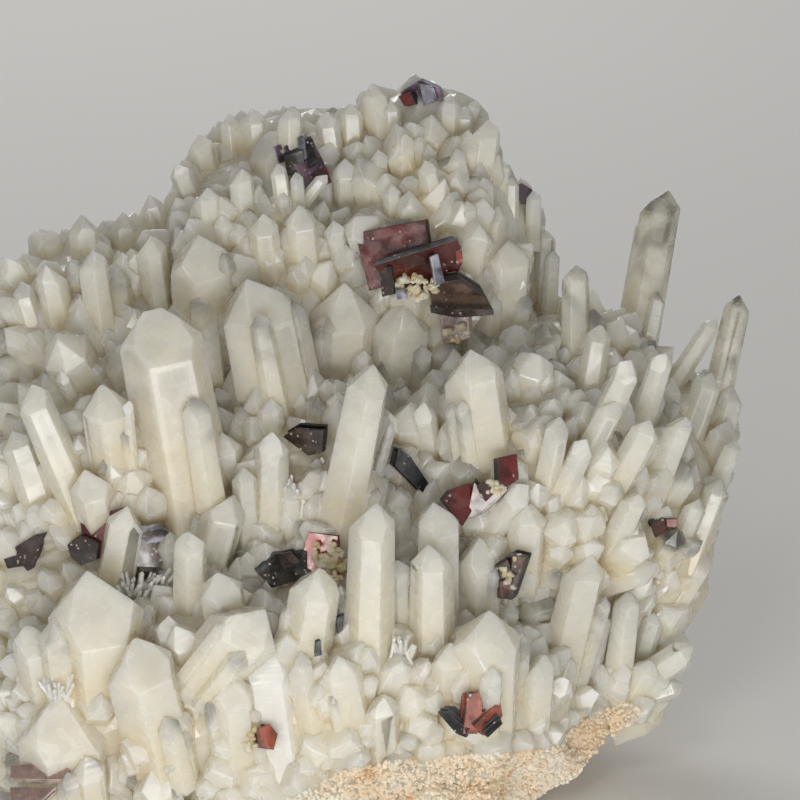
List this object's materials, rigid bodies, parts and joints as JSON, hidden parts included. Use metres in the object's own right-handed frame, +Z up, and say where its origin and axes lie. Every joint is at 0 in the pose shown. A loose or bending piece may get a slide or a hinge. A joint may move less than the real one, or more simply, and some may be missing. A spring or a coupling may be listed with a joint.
{
  "type": "huebnerite on quartz mineral specimen",
  "caption": "Chunky cluster of milky to clear quartz crystals on tan rock, set with dark red tabular huebnerite plates and cream grains; rests on a flat cut base.",
  "frame": {"origin": "in the flat cut face on which the specimen rests, near its middle", "axes": "+Z up from the resting face, +X to the right as seen from the crystal-covered front, +Y to the back"},
  "size_m": [0.1221, 0.0885, 0.1016],
  "materials": {
    "quartz": "milky to clear natural crystal faces, glassy",
    "rock": "rough granular tan rock with sparkling grains",
    "huebnerite": "glossy dark red to brown-black, slightly see-through, striated",
    "cream_grains": "waxy cream grains"
  },
  "bodies": {
    "root": {"quartz_cluster": "quartz", "matrix_rock": "rock", "huebnerite_main": "huebnerite", "huebnerite_upper_left": "huebnerite", "huebnerite_top": "huebnerite", "huebnerite_right_tip": "huebnerite", "huebnerite_centre_right": "huebnerite", "huebnerite_behind_tall": "huebnerite", "huebnerite_dark_blade": "huebnerite", "huebnerite_lower_left": "huebnerite", "huebnerite_left_edge": "huebnerite", "huebnerite_lower_centre": "huebnerite", "huebnerite_front_centre": "huebnerite", "huebnerite_bottom_right": "huebnerite", "huebnerite_right_flank": "huebnerite", "huebnerite_orange": "huebnerite", "huebnerite_bottom_left": "huebnerite", "cream_grains_main": "cream_grains", "cream_grains_lower_centre": "cream_grains"}
  },
  "joints": []
}
